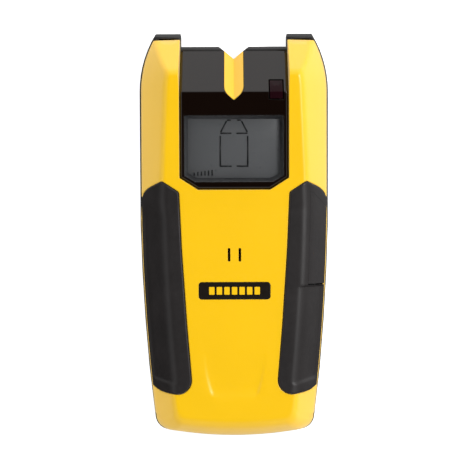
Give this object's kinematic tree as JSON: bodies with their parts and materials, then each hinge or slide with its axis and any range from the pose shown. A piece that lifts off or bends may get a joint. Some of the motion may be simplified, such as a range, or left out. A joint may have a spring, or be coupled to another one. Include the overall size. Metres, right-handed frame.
{
  "type": "stud finder",
  "caption": "Handheld stud finder with a forked head, V marking notch, sloped display panel, rubber side grips, a side key and a sliding battery door.",
  "frame": {"origin": "centre of the flat sensing face that goes against the wall, midway between the foot and the horn tips", "axes": "+X across the body to the user's right, +Y along the body from the foot to the forked head, +Z out of the front, away from the wall"},
  "size_m": [0.0752, 0.16, 0.032],
  "materials": {
    "yellow_abs": "satin",
    "black_abs": "satin",
    "grip_rubber": "matte",
    "key_rubber": "matte",
    "black_gloss": "gloss",
    "clear_window": "gloss",
    "grey_plastic": "satin",
    "lcd_glass": "satin",
    "lcd_ink": "satin",
    "white_plastic": "satin",
    "contact_rubber": "matte",
    "red_lens": "gloss",
    "red_led": "gloss",
    "badge_brown": "satin",
    "label_foil": "satin",
    "black_part": "satin",
    "circuit_green": "gloss",
    "copper": "satin",
    "ceramic_tan": "satin",
    "battery_steel": "gloss",
    "cell_fill": "satin",
    "nickel": "polished",
    "red_pvc": "satin",
    "black_pvc": "satin",
    "pad_foam": "matte",
    "screw_steel": "satin"
  },
  "bodies": {
    "housing": {"front_shell": "yellow_abs", "back_shell": "black_abs", "left_grip": "grip_rubber", "right_grip": "grip_rubber", "display_panel": "black_gloss", "display_window": "clear_window", "lcd_bezel": "grey_plastic", "lcd_glass": "lcd_glass", "lcd_segments": "lcd_ink", "lcd_diffuser": "white_plastic", "lcd_contact_strips": "contact_rubber", "warning_lens": "red_lens", "warning_lamp": "red_led", "badge_plate": "badge_brown", "rating_plate": "label_foil", "switch_case": "black_part", "main_board": "circuit_green", "sensor_board": "circuit_green", "sensor_plates": "copper", "board_header": "black_part", "board_chips": "black_part", "board_passives": "ceramic_tan", "sounder": "black_part", "battery_can": "battery_steel", "battery_cells": "cell_fill", "battery_studs": "nickel", "battery_snap": "black_part", "lead_red": "red_pvc", "lead_black": "black_pvc", "case_screws": "screw_steel", "main_board_screws": "screw_steel", "sensor_board_screws": "screw_steel"},
    "key": {"key_cap": "key_rubber", "key_carrier": "grey_plastic"},
    "plunger": {"switch_plunger": "white_plastic"},
    "door": {"battery_door": "black_abs", "door_pad": "pad_foam"}
  },
  "joints": [
    {"name": "key_press", "type": "slide", "parent": "housing", "child": "key", "axis": [-1, 0, 0], "range_m": [0, 0.0008], "stiffness_N_per_m": 1500, "springref_m": -0.0003},
    {"name": "plunger_press", "type": "slide", "parent": "housing", "child": "plunger", "axis": [-1, 0, 0], "range_m": [0, 0.0008]},
    {"name": "door_slide", "type": "slide", "parent": "housing", "child": "door", "axis": [0, -1, 0], "range_m": [0, 0.062]}
  ],
  "couplings": [
    {"joint": "plunger_press", "follows": "key_press", "ratio": 1}
  ]
}
